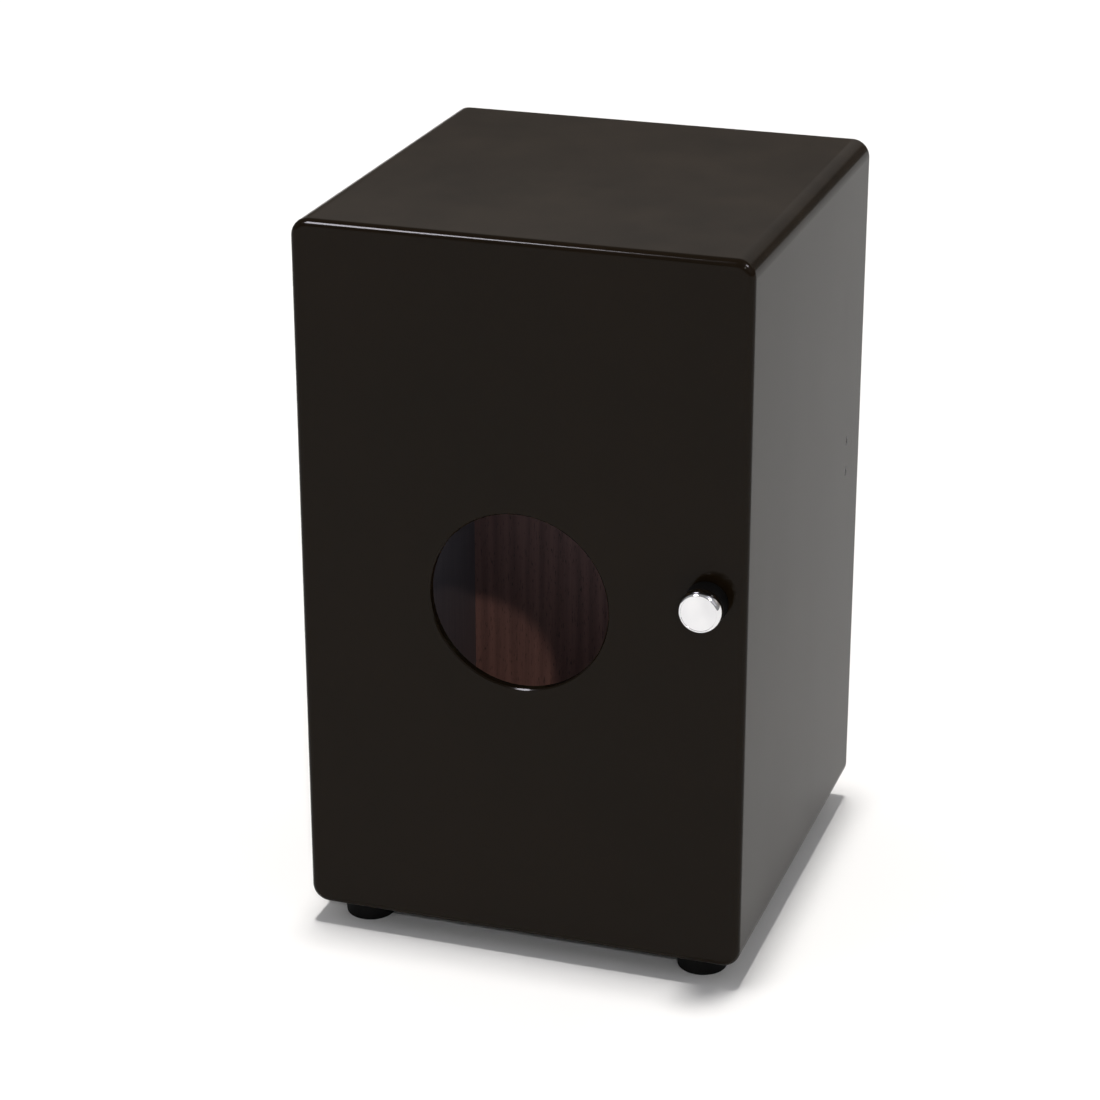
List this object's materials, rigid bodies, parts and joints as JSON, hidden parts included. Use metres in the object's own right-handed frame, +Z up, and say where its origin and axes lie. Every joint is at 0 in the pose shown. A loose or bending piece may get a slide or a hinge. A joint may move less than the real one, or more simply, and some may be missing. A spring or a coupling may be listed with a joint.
{
  "type": "cajon",
  "caption": "Box drum with a gloss black body, a round sound hole in the back, and a back knob that turns a threaded rod to rock internal snare wires off the front plate.",
  "frame": {"origin": "on the floor under the middle of the whole footprint, knob included", "axes": "+Z up, -Y out of the struck front plate, +Y out of the back panel with the sound hole and the knob, +X to the right seen from the front"},
  "size_m": [0.3, 0.32, 0.496],
  "materials": {
    "black_lacquer": "high-gloss black lacquer on plywood, dark brown stain inside",
    "front_veneer": "dark red-brown veneer, satin lacquer outside",
    "raw_hardwood": "planed, unfinished",
    "black_rubber": "matt moulded rubber",
    "zinc_steel": "bright zinc plated",
    "black_steel": "black oxide",
    "snare_steel": "coiled steel wire, nickel plated",
    "brass": "turned",
    "chrome": "polished chrome plate",
    "black_plastic": "semi-gloss moulded plastic",
    "nylon": "natural nylon",
    "felt": "pressed felt"
  },
  "bodies": {
    "box": {"seat_panel": "black_lacquer", "base_panel": "black_lacquer", "side_panel_left": "black_lacquer", "side_panel_right": "black_lacquer", "front_plate": "front_veneer", "back_panel": "black_lacquer", "front_plate_screws": "black_steel", "glue_batten_top_left": "raw_hardwood", "glue_batten_top_right": "raw_hardwood", "glue_batten_bottom_left": "raw_hardwood", "glue_batten_bottom_right": "raw_hardwood", "foot_front_left": "black_rubber", "foot_back_left": "black_rubber", "foot_front_right": "black_rubber", "foot_back_right": "black_rubber", "foot_washers": "zinc_steel", "foot_screws": "zinc_steel", "snare_rail": "raw_hardwood", "rail_screws_left": "black_steel", "rail_screws_right": "black_steel", "rail_bushing": "brass", "felt_stop_strip": "felt", "pivot_bracket_left": "zinc_steel", "pivot_bracket_right": "zinc_steel", "bracket_screws": "zinc_steel", "rod_bushing": "brass", "bushing_washer": "zinc_steel", "bushing_nut": "brass"},
    "knob": {"adjuster_rod": "zinc_steel", "knob_body": "black_plastic", "knob_cap": "chrome", "knob_grub_screw": "black_steel", "thrust_washer": "nylon", "rod_collar": "zinc_steel", "collar_grub_screw": "black_steel"},
    "rocker": {"rocker_bar": "raw_hardwood", "pivot_pin_left": "zinc_steel", "pivot_pin_right": "zinc_steel", "pivot_washers": "nylon", "snare_block": "raw_hardwood", "snare_strip_left": "snare_steel", "snare_strip_right": "snare_steel", "snare_screws": "zinc_steel"},
    "nut": {"trunnion_nut": "zinc_steel"}
  },
  "joints": [
    {"name": "knob_turn", "type": "hinge", "parent": "box", "child": "knob", "pos_m": [-0.1245, 0, 0.2735], "axis": [0, 1, 0], "range_deg": [0, 720]},
    {"name": "rocker_tilt", "type": "hinge", "parent": "box", "child": "rocker", "pos_m": [0, -0.138, 0.302], "axis": [-1, 0, 0], "range_deg": [0, 4.03]},
    {"name": "nut_level", "type": "hinge", "parent": "rocker", "child": "nut", "pos_m": [-0.1245, -0.137, 0.2735], "axis": [1, 0, 0], "range_deg": [0, 4.03]}
  ],
  "couplings": [
    {"joint": "rocker_tilt", "follows": "knob_turn", "ratio": 0.0055844},
    {"joint": "nut_level", "follows": "knob_turn", "ratio": 0.0055844}
  ]
}
